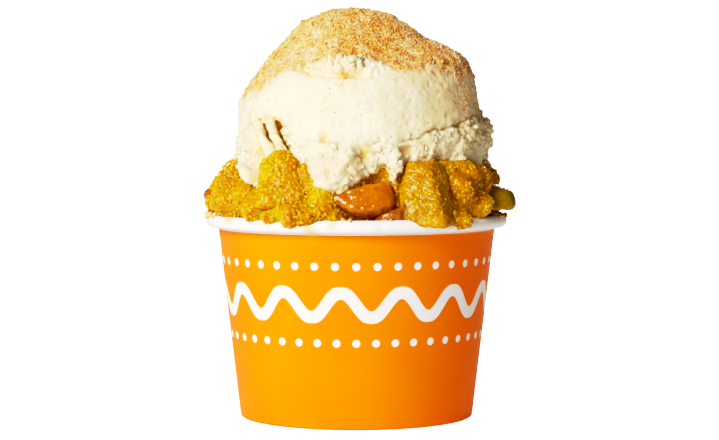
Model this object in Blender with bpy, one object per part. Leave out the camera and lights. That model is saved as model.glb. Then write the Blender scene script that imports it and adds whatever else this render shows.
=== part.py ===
"""Warm peach cobbler heaped in a paper tub, with a scoop of vanilla ice cream on top.

Metres, +Z up. The origin is on the tub's axis, on the surface that the tub stands on, and -Y is
the front. An azimuth is measured from +X towards +Y, so -90 degrees is the front.

The tub is two pieces of coated board: a wall blank with a rolled rim and a turned-in hem, and a
base disc whose skirt stands in that hem. The filling is one heap of wet crumble. Peach pieces, a
little syrup and the scoop are separate solids, bedded in it with a hair's clearance. The crumb
topping is relief on the scoop.
"""

import math
import random

import bmesh
import bpy
from mathutils import Vector, noise

MM = 0.001
CLEARANCE = 0.3 * MM  # between any two pieces that touch

# Tub of twelve fluid ounces
TUB_HEIGHT = 66 * MM
RIM_OUTER_RADIUS = 49 * MM
ROLL_RADIUS = 2.1 * MM  # of the rolled rim's section
FOOT_OUTER_RADIUS = 37.9 * MM
NECK_OUTER_RADIUS = 45.4 * MM  # where the wall meets the roll
BOARD = 0.6 * MM
HEM_HEIGHT = 6.5 * MM
BASE_THICKNESS = 0.6 * MM
TUB_SEGMENTS = 48
ROLL_SEGMENTS = 7

# Heap of crumble, described from a point on the axis a little above the rim
HEAP_CENTRE = Vector((0, 0, 70 * MM))
HEAP_TOP = 85 * MM
HEAP_RADIUS = 44.6 * MM
HEAP_SEGMENTS = 76

# Scoop of ice cream, described from a point on the axis
SCOOP_CENTRE = Vector((0, 0, 100 * MM))
SCOOP_UNDERSIDE = 20 * MM  # from its centre down to its base
SCOOP_SEGMENTS = 56

# Outlines of the scoop on four sides, from below to above: azimuth, (radius, height) in mm
SCOOP_OUTLINES = (
    (
        -90,
        (38.6, 50), (38.8, 83), (39.6, 90), (39.5, 97), (38.3, 104), (36.2, 109.4), (33.0, 112.8),
        (29.6, 114.8), (25.2, 118.4), (19.6, 122.8), (13.2, 127.4), (7.0, 130.8), (0, 132.3),
    ),
    (
        0,
        (39.0, 50), (40.6, 83), (43.4, 88), (44.0, 94), (40.6, 98.4), (39.5, 103), (38.4, 108.8),
        (37.3, 113.6), (34.4, 117.6), (29.6, 120.6), (24.2, 122.4), (18.0, 126.6), (11.0, 130.8),
    ),
    (
        90,
        (38.4, 50), (39.4, 84), (40.6, 90), (40.2, 97), (38.6, 104.5), (35.6, 111), (31.0, 117),
        (25.0, 122.4), (17.6, 127), (9.4, 130.8), (0, 132.3),
    ),
    (
        180,
        (38.4, 50), (38.8, 84), (38.4, 92), (38.9, 99), (38.8, 103), (36.2, 106), (33.0, 110),
        (29.2, 115.2), (25.0, 120.2), (21.0, 124.6), (15.6, 128.8), (9.0, 131.4), (0, 132.3),
    ),
)
# Where the skirt of the scoop hangs lower, and by how much it then stands out: azimuth, half width,
# drop, stand and lean, which turns a lobe by so many degrees for each degree further down
SKIRT_LOBES = (
    (-20, 9, 1.0 * MM, 1.2 * MM, 0),
    (-38, 6, 4.0 * MM, 2.4 * MM, 0),
    (-56, 8, 1.0 * MM, 1.6 * MM, 0),
    (-74, 5, 5.5 * MM, 4.0 * MM, 0),
    (-100, 14, 9.0 * MM, 8.0 * MM, 0),
    (-146, 8, 9.0 * MM, 7.4 * MM, 0.9),
    (-168, 10, 1.0 * MM, 0.6 * MM, 0),
    (150, 12, 5.0 * MM, 4.0 * MM, 0),
    (118, 9, 8.0 * MM, 6.0 * MM, 0),
    (86, 12, 4.0 * MM, 3.0 * MM, 0),
    (56, 9, 8.0 * MM, 6.0 * MM, 0),
    (24, 11, 3.0 * MM, 1.5 * MM, 0),
)
LEAN_TILT = -16  # where a leaning lobe is at its own azimuth
# Where it is torn away: azimuth, half width, rise, depth and the tilt below which it starts
SKIRT_TEAR = (-134, 7.2, 13.0 * MM, 9.0 * MM, -3)

# Crumb topping on the scoop: its thickness, and its lower edge as azimuth and tilt
TOPPING_THICKNESS = 0.8 * MM
TOPPING_EDGE = ((-90, 24), (-73, 21), (-40, 17), (0, 12), (60, 20), (90, 18), (180, 8), (220, 10), (251, 18))

ROLL_CENTRE_RADIUS = RIM_OUTER_RADIUS - ROLL_RADIUS
ROLL_CENTRE_HEIGHT = TUB_HEIGHT - ROLL_RADIUS
WALL_SLOPE = (NECK_OUTER_RADIUS - FOOT_OUTER_RADIUS) / ROLL_CENTRE_HEIGHT
BASE_TOP = HEM_HEIGHT + CLEARANCE + BASE_THICKNESS
FILLING_BOTTOM = BASE_TOP + CLEARANCE


def clear_scene():
    for obj in list(bpy.data.objects):
        bpy.data.objects.remove(obj, do_unlink=True)


def material(name, colour, roughness):
    """A Principled material of one colour, given as linear red, green and blue."""
    made = bpy.data.materials.new(name)
    made.use_nodes = True
    shader = made.node_tree.nodes["Principled BSDF"]
    shader.inputs["Base Color"].default_value = (*colour, 1)
    shader.inputs["Roughness"].default_value = roughness
    shader.inputs["Metallic"].default_value = 0
    return made


def add_object(name, mesh, surface):
    obj = bpy.data.objects.new(name, mesh)
    bpy.context.scene.collection.objects.link(obj)
    if surface:
        mesh.materials.append(surface)
    return obj


def smooth_step(low, high, value):
    share = min(1.0, max(0.0, (value - low) / (high - low)))
    return share * share * (3 - 2 * share)


def bump(angle, centre, half_width):
    """1 at the centre azimuth and falling off smoothly to both sides, in degrees."""
    away = (angle - centre + 180) % 360 - 180
    return math.exp(-((away / half_width) ** 2))


def wall_radius(height):
    """Outer radius of the tub's wall at a height."""
    return FOOT_OUTER_RADIUS + WALL_SLOPE * height


def turned(name, section, surface):
    """A body turned about Z from a section of (radius, height) points, outer side downwards."""
    mesh = bpy.data.meshes.new(name)
    closed = section[0][0] > CLEARANCE
    points = [(radius, 0, height) for radius, height in section]
    edges = [(i, i + 1) for i in range(len(points) - 1)]
    if closed:
        edges.append((len(points) - 1, 0))
    mesh.from_pydata(points, edges, [])
    obj = add_object(name, mesh, surface)
    screw = obj.modifiers.new("Turn", "SCREW")
    screw.steps = TUB_SEGMENTS
    screw.render_steps = TUB_SEGMENTS
    screw.use_merge_vertices = True
    screw.merge_threshold = 0.01 * MM
    screw.use_smooth_shade = True
    return obj


def make_tub_wall(surface):
    """Rolled rim, sloping wall, and the hem that turns up inside to hold the base's skirt."""
    meets_wall = math.pi + math.asin(0.66)
    turn = [math.pi - i * meets_wall * 1.09 / ROLL_SEGMENTS for i in range(ROLL_SEGMENTS + 1)]
    roll = [
        (ROLL_CENTRE_RADIUS + ROLL_RADIUS * math.cos(a), ROLL_CENTRE_HEIGHT + ROLL_RADIUS * math.sin(a))
        for a in turn
    ]
    slot = BOARD + 2 * CLEARANCE
    edge = 0.3 * MM  # rounding of the folded foot
    hem_inside = 2 * BOARD + slot
    foot = [
        (wall_radius(edge), edge),
        (wall_radius(0) - edge, 0),
        (wall_radius(0) - hem_inside + edge, 0),
        (wall_radius(edge) - hem_inside, edge),
    ]
    hem = [
        (wall_radius(HEM_HEIGHT) - hem_inside, HEM_HEIGHT),
        (wall_radius(HEM_HEIGHT) - BOARD - slot, HEM_HEIGHT),
        (wall_radius(BOARD) - BOARD - slot, BOARD),
        (wall_radius(BOARD) - BOARD, BOARD),
    ]
    return turned("cup_wall", roll + foot + hem, surface)


def make_tub_base(surface):
    """A flat disc with a skirt that reaches down into the wall's hem."""
    outside = BOARD + CLEARANCE
    skirt_end = BOARD + CLEARANCE
    underside = BASE_TOP - BASE_THICKNESS
    section = [
        (0, BASE_TOP),
        (wall_radius(BASE_TOP) - outside, BASE_TOP),
        (wall_radius(skirt_end) - outside, skirt_end),
        (wall_radius(skirt_end) - outside - BOARD, skirt_end),
        (wall_radius(underside) - outside - BOARD, underside),
        (0, underside),
    ]
    return turned("cup_base", section, surface)


def ring_mesh(name, rings, bottom, top):
    """A closed mesh of rings of points, each of one length, with a pole below and above.

    It is all triangles, split alike, so that a piece and its larger cutter are never in doubt.
    """
    count = len(rings[0])
    points = [bottom]
    for ring in rings:
        points.extend(ring)
    points.append(top)
    last = len(points) - 1
    faces = []
    for i in range(count):
        j = (i + 1) % count
        faces.append((0, 1 + j, 1 + i))
        for k in range(len(rings) - 1):
            low = 1 + k * count
            faces.append((low + i, low + j, low + count + j))
            faces.append((low + i, low + count + j, low + count + i))
        high = 1 + (len(rings) - 1) * count
        faces.append((high + i, high + j, last))
    mesh = bpy.data.meshes.new(name)
    mesh.from_pydata(points, [], faces)
    mesh.shade_smooth()
    return mesh


def star_mesh(name, centre, reach, segments, tilts, grow=0.0):
    """A closed mesh around a centre: reach(azimuth, tilt), in degrees, is how far it extends.

    tilts are the rings' angles above the level, from below to above. grow adds to every reach, so
    that the same shape can cut its own bed.
    """

    def point(azimuth, tilt):
        return centre + direction(azimuth, tilt) * (reach(azimuth, tilt) + grow)

    turn = [360 * i / segments for i in range(segments)]
    rings = [[point(a, t) for a in turn] for t in tilts]
    return ring_mesh(name, rings, point(0, -90), point(0, 90))


def skirt(azimuth, tilt):
    """How far the skirt's lower edge lies below the scoop's even base, and how far it stands out."""
    drop = stand = 0
    for at, width, down, out, lean in SKIRT_LOBES:
        further = min(max(LEAN_TILT - tilt, -12), 16)
        share = bump(azimuth, at + lean * further, width)
        drop += share * down
        stand += share * out
    at, width, rise = SKIRT_TEAR[:3]
    return drop - rise * bump(azimuth, at, width), stand


def direction(azimuth, tilt):
    a, t = math.radians(azimuth), math.radians(tilt)
    return Vector((math.cos(a) * math.cos(t), math.sin(a) * math.cos(t), math.sin(t)))


def outline_reach(outline, tilt):
    """How far one outline of the scoop lies from the scoop's centre at a tilt."""
    before = None
    for radius, height in outline:
        rise = height - SCOOP_CENTRE.z / MM
        here = (math.degrees(math.atan2(rise, radius)), math.hypot(radius, rise))
        if before and tilt <= here[0]:
            share = (tilt - before[0]) / (here[0] - before[0])
            return (before[1] + (here[1] - before[1]) * max(0.0, share)) * MM
        before = here
    return before[1] * MM


def scoop_reach(azimuth, tilt):
    """The scoop: four outlines blended round it, a flat base, a ragged skirt and a torn place."""
    way = direction(azimuth, tilt)
    level = math.hypot(way.x, way.y)
    turn = (azimuth + 90) % 360 / 90
    first = int(turn)
    share = smooth_step(0, 1, turn - first)
    near = outline_reach(SCOOP_OUTLINES[first % 4][1:], tilt)
    far = outline_reach(SCOOP_OUTLINES[(first + 1) % 4][1:], tilt)
    side = near + (far - near) * share

    drop, stand = skirt(azimuth, tilt)
    at, width, _, depth, start = SKIRT_TEAR
    torn = depth * bump(azimuth, at, width) * smooth_step(-start, 6 - start, -tilt)
    side += stand * smooth_step(6, 26, -tilt) / max(level, 0.5) - torn
    base = (SCOOP_UNDERSIDE + drop * smooth_step(0.45, 0.8, level)) / max(-way.z, 0.001)
    softness = 16
    reach = (side**-softness + base**-softness) ** (-1 / softness)
    ragged = 0.35 + 1.1 * smooth_step(4, 16, -tilt) * smooth_step(0.6, 0.85, level)
    rough = noise.fractal(way * 5.5, 0.9, 2.1, 3) + 0.5 * noise.noise(way * 17)
    return reach + rough * ragged * MM + topping_height(azimuth, tilt)


def scoop_tilts():
    """Rings close together at the skirt's edge, wider under the scoop and over the dome."""
    under = [-60, -43, -35, -30, -26, -22, -18, -13, -8]
    over = [-2, 4, 10, 15, 19, 23, 27, 31, 35, 39, 44, 49, 55, 62, 70, 79]
    return under + over


def topping_height(azimuth, tilt):
    """Height of the crumb topping over the bare scoop, which ends at a ragged edge."""
    rows = TOPPING_EDGE + ((270, TOPPING_EDGE[0][1]),)
    at = (azimuth + 90) % 360 - 90
    for (start, low), (end, high) in zip(rows, rows[1:]):
        if start <= at <= end:
            edge = low + (high - low) * smooth_step(start, end, at)
    way = direction(azimuth, tilt)
    edge += 7 * noise.noise(way * 6 + Vector((3, 1, 7)))
    return TOPPING_THICKNESS * smooth_step(edge - 2, edge + 3, tilt) * (1 + 0.7 * noise.noise(way * 22))


def carve(obj, cutters):
    """Takes the cutters out of obj, one after another."""
    for cutter in cutters:
        cut = obj.modifiers.new("Bed of " + cutter.name, "BOOLEAN")
        cut.operation = "DIFFERENCE"
        cut.object = cutter
        cut.solver = "EXACT"
        apply_modifiers(obj)


def apply_modifiers(obj):
    """Bakes the modifiers into the mesh, and keeps its largest closed body alone."""
    bpy.context.view_layer.update()
    evaluated = obj.evaluated_get(bpy.context.evaluated_depsgraph_get())
    mesh = bpy.data.meshes.new_from_object(evaluated)
    obj.modifiers.clear()
    obj.data = mesh
    work = bmesh.new()
    work.from_mesh(mesh)
    bmesh.ops.remove_doubles(work, verts=work.verts, dist=0.002 * MM)
    bmesh.ops.triangulate(work, faces=work.faces)
    drop_scraps(work)
    work.to_mesh(mesh)
    work.free()
    mesh.shade_smooth()


def drop_scraps(work):
    """Deletes every island of a bmesh but the one with the most faces."""
    unseen = set(work.verts)
    islands = []
    while unseen:
        island, edge = set(), [unseen.pop()]
        while edge:
            vertex = edge.pop()
            island.add(vertex)
            for link in vertex.link_edges:
                other = link.other_vert(vertex)
                if other in unseen:
                    unseen.discard(other)
                    edge.append(other)
        islands.append(island)
    islands.sort(key=len)
    for island in islands[:-1]:
        bmesh.ops.delete(work, geom=list(island), context="VERTS")


def as_cutter(obj):
    obj.hide_render = True
    obj.display_type = "WIRE"
    return obj


def make_scoop(surface):
    """The ice cream. Gives the slightly larger body that cuts its bed."""
    shape = (SCOOP_CENTRE, scoop_reach, SCOOP_SEGMENTS, scoop_tilts())
    add_object("ice_cream", star_mesh("ice_cream", *shape), surface)
    cutter = add_object("ice_cream_bed", star_mesh("ice_cream_bed", *shape, grow=CLEARANCE), None)
    return as_cutter(cutter)


def make_rim_cutter():
    """The rolled rim and the wall under it with clearance, so that no crumble crosses the tub."""
    reach = ROLL_RADIUS + 1.6 * CLEARANCE
    low = 50 * MM
    turn = [math.pi * (1 - i / ROLL_SEGMENTS) for i in range(ROLL_SEGMENTS + 1)]
    over = [
        (ROLL_CENTRE_RADIUS + reach * math.cos(a), ROLL_CENTRE_HEIGHT + reach * math.sin(a))
        for a in turn
    ]
    under = [
        (ROLL_CENTRE_RADIUS + reach, low),
        (wall_radius(low) - BOARD - 0.5 * CLEARANCE, low),
    ]
    return as_cutter(turned("rim_bed", over + under, None))


def facet_reach(facets, softness, size):
    """Reach of a soft-edged block: facets are (direction, distance) of its cut faces."""
    faces = [(Vector(way).normalized(), distance) for way, distance in facets]

    def reach(azimuth, tilt):
        way = direction(azimuth, tilt)
        near = sum((max(way.dot(n), 0) / d) ** softness for n, d in faces)
        uneven = 1 + 0.07 * noise.noise(way * 2.2 + Vector((size * 500, 0, 0)))
        return near ** (-1 / softness) * uneven

    return reach


# Peach pieces: name, centre in mm, cut faces as (direction, distance in mm), softness of the edges
PEACHES = (
    (
        "peach_slice_front",
        (1.0, -39.5, 70.5),
        (
            ((1, 0.1, 0.05), 10.8),
            ((-1, 0.2, 0.1), 11.5),
            ((0, 0.2, 1), 5.6),
            ((0.1, -1, 0.75), 5.8),
            ((0, -0.6, -1), 6.0),
            ((0, 1, 0), 8.0),
        ),
        4,
    ),
    (
        "peach_chunk_right",
        (22.0, -36.0, 73.0),
        (
            ((-0.9, -0.25, 0.15), 8.7),
            ((0.85, -0.45, 0.34), 6.6),
            ((-0.15, -1, 0.28), 7.6),
            ((0, 0, 1), 10.6),
            ((0.1, 1, 0), 9.0),
            ((0, 0, -1), 9.0),
        ),
        9,
    ),
    (
        "peach_piece_rim",
        (45.6, -14.5, 71.6),
        (
            ((1, -0.2, 0.2), 4.6),
            ((-1, 0.2, 0), 6.0),
            ((0.2, -1, 0.3), 4.6),
            ((0, 1, 0.2), 5.4),
            ((0.3, 0, 1), 3.9),
            ((0, 0, -1), 3.6),
        ),
        5,
    ),
    (
        "peach_chunk_left",
        (-22.6, -33.0, 77.0),
        (
            ((-0.85, -0.2, 0.42), 7.6),
            ((0.85, -0.2, 0.42), 7.6),
            ((0, -1, 0.35), 8.2),
            ((0, 1, 0), 7.0),
            ((0, 0, -1), 8.0),
            ((0.1, 0, 1), 11.2),
        ),
        4,
    ),
    (
        "peach_slice_left",
        (-41.5, 8.0, 73.4),
        (
            ((-1, 0, 0.7), 6.4),
            ((-0.3, 0, -1), 5.6),
            ((-0.2, 0.1, 1), 6.4),
            ((0, 1, 0.1), 11.5),
            ((-0.1, -1, 0.1), 10.5),
            ((1, 0, 0.3), 7.0),
        ),
        5,
    ),
    (
        "peach_chunk_back",
        (10.0, 40.0, 73.0),
        (
            ((-1, 0.2, 0.2), 9.0),
            ((1, 0.3, 0.3), 8.0),
            ((0, 1, 0.6), 6.6),
            ((0, 0, 1), 8.2),
            ((0, -1, 0), 9.0),
            ((0, 0, -1), 8.0),
        ),
        8,
    ),
    (
        "peach_slice_back",
        (-19.0, 37.5, 72.0),
        (
            ((-1, 0.3, 0.1), 12.0),
            ((1, 0.6, 0.1), 10.0),
            ((-0.3, 1, 0.5), 6.6),
            ((0, 0.2, 1), 6.4),
            ((0, 0.3, -1), 6.0),
            ((0, -1, 0), 7.0),
        ),
        5,
    ),
)

# Syrup that has run together between the front slice and the chunk, up to the level of the rim
SYRUP = (
    "syrup_pool",
    (11.2, -41.6, 66.8),
    (
        ((1, 0.25, 0), 6.0),
        ((-1, 0.25, 0), 7.0),
        ((0, -1, 0.3), 4.0),
        ((0, 1, 0), 5.0),
        ((0, 0, 1), 2.0),
        ((0, 0, -1), 2.6),
    ),
    6,
)


def make_block(row, surface, segments=13, rings=6):
    """One soft-edged block from its row, its bed, and the bed opened outwards from the axis.

    The open bed is for the heap, so that no thin skin of crumble is left over the block.
    """
    name, centre, facets, softness = row
    reach = facet_reach([(way, distance * MM) for way, distance in facets], softness, len(name) * MM)
    tilts = [-90 + 180 * (i + 1) / (rings + 1) for i in range(rings)]
    place = Vector(centre) * MM
    outwards = Vector((place.x, place.y, 0)).normalized()

    def open_reach(azimuth, tilt):
        facing = direction(azimuth, tilt).dot(outwards)
        return reach(azimuth, tilt) + 9 * MM * smooth_step(0.1, 0.9, facing)

    block = add_object(name, star_mesh(name, place, reach, segments, tilts), surface)
    bed = star_mesh(name + "_bed", place, reach, segments, tilts, grow=CLEARANCE)
    opened = star_mesh(name + "_open_bed", place, open_reach, segments, tilts, grow=CLEARANCE)
    return (
        block,
        as_cutter(add_object(name + "_bed", bed, None)),
        as_cutter(add_object(name + "_open_bed", opened, None)),
    )


def crumble_lumps():
    """Rounded lumps all round the heap: rows of azimuth, distance from the axis, height, radius."""
    front = [
        (-154, 43.2, 78.0, 5.4),
        (-164, 44.6, 75.0, 5.0),
        (-170, 45.4, 70.0, 4.6),
        (-153, 45.2, 70.4, 5.6),
        (-140, 43.4, 72.4, 5.6),
        (-132, 45.6, 69.6, 6.2),
        (-115, 46.8, 67.4, 5.6),
        (-103, 44.4, 68.8, 5.2),
        (-52, 47.2, 67.2, 5.8),
        (-45, 44.6, 74.4, 6.4),
        (-37, 43.2, 78.8, 5.8),
        (-34, 46.0, 70.4, 5.8),
        (-27, 43.8, 76.6, 5.8),
        (-19, 46.2, 70.2, 5.2),
        (-78, 39.4, 74.6, 5.0),
    ]
    draw = random.Random(21)
    rest = []
    rows = ((44.6, 69.6, 15), (42.8, 75.6, 17), (40.2, 80.4, 19))
    for row, (radius, height, step) in enumerate(rows):
        for i in range(int(193 / step)):
            place = -8 + row * 5 + i * step + draw.uniform(-3, 3)
            out = radius + draw.uniform(-1.6, 0.0)
            rest.append((place, out, height + draw.uniform(-1.2, 1.2), draw.uniform(4.4, 6.4)))
    return [
        (direction(azimuth, 0) * out * MM + Vector((0, 0, height * MM)) - HEAP_CENTRE, radius * MM)
        for azimuth, out, height, radius in front + rest
    ]


def make_heap(surface):
    """The filling: a plug that fits the tub, and above the rim a heap of rounded lumps."""
    inside = BOARD + CLEARANCE + 0.1 * MM
    floor = HEAP_CENTRE.z - FILLING_BOTTOM
    lumps = crumble_lumps()
    over_rim = -8.6  # the lowest tilt at which a lump may stand out over the rim
    dip = direction(-77, 0) * 41.0 * MM + Vector((0, 0, 79.5 * MM)) - HEAP_CENTRE  # under the skirt
    dip_radius, dip_depth = 7.5 * MM, 5.0

    def plug_reach(way):
        level = math.hypot(way.x, way.y)
        to_wall = (wall_radius(HEAP_CENTRE.z) - inside) / max(level - WALL_SLOPE * way.z, 0.001)
        return min(to_wall, floor / max(-way.z, 0.001))

    def heap_reach(azimuth, tilt):
        way = direction(azimuth, tilt)
        if tilt < over_rim:
            return plug_reach(way)
        level, up = math.hypot(way.x, way.y), max(way.z, 0)
        slope = (level * 0.78 + up * 0.62) / (44.0 * MM)
        near = (level / HEAP_RADIUS) ** 12 + slope**12 + (up / (HEAP_TOP - HEAP_CENTRE.z)) ** 12
        reach = near ** (-1 / 12)
        swell = 0
        for centre, radius in lumps:
            aside = (way * centre.length - centre).length / (0.85 * radius)
            height = centre.length + radius - reach
            swell += max(0, height / MM * math.exp(-aside * aside)) ** 4
        aside = (way * dip.length - dip).length / dip_radius
        lower = dip_depth * math.exp(-aside * aside)
        return reach + (swell**0.25 - lower + 0.5 * noise.noise(way * 21)) * MM

    corner = -math.degrees(math.atan2(floor, wall_radius(FILLING_BOTTOM) - inside))
    below = [corner, -9.2]
    rim = [-8.2, -6.2, -4, -1.6, 1, 3.8, 6.8, 9.8, 13, 16.4, 20, 28]
    mesh = star_mesh("cobbler_filling", HEAP_CENTRE, heap_reach, HEAP_SEGMENTS, below + rim)
    return add_object("cobbler_filling", mesh, surface)


def build():
    clear_scene()
    print_board = material("printed_board", (1.0, 0.34, 0.005), 0.4)
    white_board = material("white_board", (0.88, 0.87, 0.85), 0.5)
    vanilla = material("vanilla_ice_cream", (0.86, 0.79, 0.62), 0.5)
    crumble = material("wet_crumble", (0.72, 0.38, 0.02), 0.3)
    peach = material("peach_flesh", (0.65, 0.27, 0.01), 0.25)
    syrup = material("syrup", (0.5, 0.18, 0.01), 0.1)

    make_tub_wall(print_board)
    make_tub_base(white_board)
    scoop_bed = make_scoop(vanilla)
    rim_bed = make_rim_cutter()

    made = [make_block(row, peach) for row in PEACHES]
    blocks, beds, open_beds = zip(*made)
    for block in blocks:
        carve(block, [scoop_bed, rim_bed])

    pool, _, pool_open_bed = make_block(SYRUP, syrup, segments=14, rings=5)
    carve(pool, [scoop_bed, rim_bed, *beds])

    heap = make_heap(crumble)
    carve(heap, [scoop_bed, rim_bed, *open_beds, pool_open_bed])


build()
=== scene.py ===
# Warm peach cobbler in a paper tub under a scoop of vanilla ice cream, dressed over its frame.
# Shapes are worked out in millimetres and degrees. An azimuth turns from +X towards +Y, so -90 is
# the front, and a tilt is measured up from the level.
import functools
import math
import random

import bmesh
import bpy
import mathutils
import numpy as np
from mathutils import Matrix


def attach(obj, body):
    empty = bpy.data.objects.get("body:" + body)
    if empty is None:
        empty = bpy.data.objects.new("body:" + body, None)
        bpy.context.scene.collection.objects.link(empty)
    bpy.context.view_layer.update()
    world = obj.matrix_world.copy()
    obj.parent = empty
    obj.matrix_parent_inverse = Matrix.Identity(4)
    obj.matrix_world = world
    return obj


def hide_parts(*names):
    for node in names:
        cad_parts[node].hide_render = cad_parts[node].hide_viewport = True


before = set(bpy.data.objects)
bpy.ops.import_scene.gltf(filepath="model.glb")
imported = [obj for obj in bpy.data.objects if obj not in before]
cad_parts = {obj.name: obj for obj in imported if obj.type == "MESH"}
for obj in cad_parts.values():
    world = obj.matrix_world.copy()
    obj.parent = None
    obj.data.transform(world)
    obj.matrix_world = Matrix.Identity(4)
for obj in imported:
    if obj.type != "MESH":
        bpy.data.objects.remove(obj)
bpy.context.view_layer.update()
mm = 0.001


# Helpers for shapes

# 0 up to low, 1 from high on, and between them 3 squares less 2 cubes of the share
def smoothStep(low, high, value):
    share = np.clip((value - low) / (high - low), 0, 1)
    return share * share * (3 - 2 * share)


# 1 at the centre azimuth, falling off smoothly to both sides
def bump(angle, centre, halfWidth):
    away = (angle - centre + 180) % 360 - 180
    return np.exp(-((away / halfWidth) ** 2))


# Unit vectors: the cosines and sines of azimuth and tilt
def direction(azimuth, tilt):
    a, t = np.broadcast_arrays(np.radians(azimuth), np.radians(tilt))
    return np.stack([np.cos(a) * np.cos(t), np.sin(a) * np.cos(t), np.sin(t)], axis=-1)


# Values at azimuths, joined smoothly all the way round: rows are (azimuth, value)
def roundTable(rows, azimuth):
    rows = sorted(rows)
    at = np.array([row[0] for row in rows] + [rows[0][0] + 360], float)
    value = np.array([row[1] for row in rows] + [rows[0][1]], float)
    turn = (azimuth - at[0]) % 360 + at[0]
    index = np.clip(np.searchsorted(at, turn, side="right") - 1, 0, len(at) - 2)
    share = smoothStep(0, 1, (turn - at[index]) / (at[index + 1] - at[index]))
    return value[index] + (value[index + 1] - value[index]) * share


# Whole-number cells to numbers spread evenly from 0 to 1, by large odd factors that stir their bits
cellFactors = (374761393, 668265263, 1442695041)
seedFactor, firstStir, secondStir = 9747123, 1274126177, 1103515245


def cellHash(cell, seed):
    mask = 0xFFFFFFFF
    a, b, c = cellFactors
    n = (cell[..., 0] * a + cell[..., 1] * b + cell[..., 2] * c + seed * seedFactor) & mask
    n = ((n ^ (n >> 13)) * firstStir) & mask
    n = ((n ^ (n >> 16)) * secondStir) & mask
    return ((n ^ (n >> 15)) & 0xFFFFFF) / float(0x1000000)


# Gradient noise of about -1 to 1, one feature per unit
def waves(points, seed):
    cell = np.floor(points).astype(np.int64)
    part = points - cell
    fade = part**3 * (part * (part * 6 - 15) + 10)
    total = np.zeros(points.shape[:-1])
    for corner in np.ndindex(2, 2, 2):
        turn = cellHash(cell + corner, seed) * 2 * np.pi
        rise = cellHash(cell + corner, seed + 57) * 2 - 1
        flat = np.sqrt(1 - rise * rise)
        away = part - corner
        slope = flat * (np.cos(turn) * away[..., 0] + np.sin(turn) * away[..., 1]) + rise * away[..., 2]
        total += slope * np.prod(np.where(np.array(corner) == 1, fade, 1 - fade), axis=-1)
    return total * 1.7


# Layers of waves, each twice as fine and half as high as the one before
def fractal(points, layers, seed):
    total = 0
    for layer in range(layers):
        total = total + waves(points * 2.03**layer, seed + layer * 13) * 0.5**layer
    return total


# Three waves as a vector, which bends a pattern before it is read
def wander(points, seed):
    return np.stack([waves(points, seed + k) for k in range(3)], axis=-1)


# Rounded grains packed side by side: domes over the nearest of one random point in each unit cell
def grains(points, seed, width=0.72):
    cell = np.floor(points).astype(np.int64)
    nearest = np.full(points.shape[:-1], np.inf)
    for step in np.ndindex(3, 3, 3):
        other = cell + (np.array(step) - 1)
        spot = other + np.stack([cellHash(other, seed + k) for k in (1, 2, 3)], axis=-1)
        nearest = np.minimum(nearest, np.linalg.norm(points - spot, axis=-1))
    return np.sqrt(np.clip(1 - (nearest / width) ** 2, 0, 1))


# Puffy lumps with creases between them: the size of waves without their sign
def puffs(points, layers, seed):
    total = 0
    for layer in range(layers):
        total = total + np.abs(waves(points * 2.1**layer, seed + layer * 17)) * 0.52**layer
    return total


# A grid of rings round an axis, one row for each tilt
def ringGrid(tilts, columns, start=-180):
    azimuth = np.linspace(start, start + 360, columns, endpoint=False)
    return np.broadcast_arrays(azimuth[None, :], np.asarray(tilts)[:, None])


# Outward normals of a grid of rings: along the ring crossed with up the rows
def ringNormals(rings):
    along = np.roll(rings, -1, axis=1) - np.roll(rings, 1, axis=1)
    up = np.gradient(rings, axis=0)
    normal = np.cross(along, up)
    return normal / np.maximum(np.linalg.norm(normal, axis=-1, keepdims=True), 1e-9)


# The rings moved outwards by shift
def raised(rings, shift):
    return rings + ringNormals(rings) * shift[..., None]


# Helpers for meshes

def makePiece(name, points, quads, triangles, material, node=None, slot=None):
    mesh = bpy.data.meshes.new(name)
    quads = np.asarray(quads, np.int32).reshape(-1, 4)
    triangles = np.asarray(triangles, np.int32).reshape(-1, 3)
    corners = np.concatenate([quads.ravel(), triangles.ravel()])
    sizes = np.concatenate([np.full(len(quads), 4), np.full(len(triangles), 3)])
    mesh.vertices.add(len(points))
    mesh.vertices.foreach_set("co", (np.asarray(points) * mm).astype(np.float32).ravel())
    mesh.loops.add(len(corners))
    mesh.loops.foreach_set("vertex_index", corners)
    mesh.polygons.add(len(sizes))
    mesh.polygons.foreach_set("loop_start", np.concatenate([[0], np.cumsum(sizes)[:-1]]).astype(np.int32))
    mesh.update(calc_edges=True)
    mesh.validate()
    mesh.shade_smooth()
    mesh.materials.append(material)
    piece = bpy.data.objects.new(name, mesh)
    bpy.context.scene.collection.objects.link(piece)
    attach(piece, "root")
    if node:
        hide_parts(node)
    return piece


# One number for each point, which the piece's material reads by name. A shell's two ends come last.
def markPoints(piece, name, values, ends=()):
    layer = piece.data.attributes.new(name, "FLOAT", "POINT")
    layer.data.foreach_set("value", np.concatenate([np.ravel(values), ends]).astype(np.float32))


# Four-sided faces of rings [rows, columns], closed round, and as a loop from the last row to the first
def ringQuads(rows, columns, loop=False):
    start = (np.arange(rows if loop else rows - 1) * columns)[:, None]
    after = (start + columns) % (rows * columns)
    i = np.arange(columns)[None, :]
    j = (i + 1) % columns
    return np.stack([start + i, start + j, after + j, after + i], axis=-1).reshape(-1, 4)


# Rings with a point below and one above them, which close the shell
def makeShell(name, rings, bottom, top, material, **more):
    rows, columns = rings.shape[:2]
    i = np.arange(columns)
    j = (i + 1) % columns
    last, high = rows * columns, (rows - 1) * columns
    below = np.stack([np.full(columns, last), j, i], axis=-1)
    above = np.stack([np.full(columns, last + 1), high + i, high + j], axis=-1)
    points = np.concatenate([rings.reshape(-1, 3), [bottom, top]])
    triangles = np.concatenate([below, above])
    return makePiece(name, points, ringQuads(rows, columns), triangles, material, **more)


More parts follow.
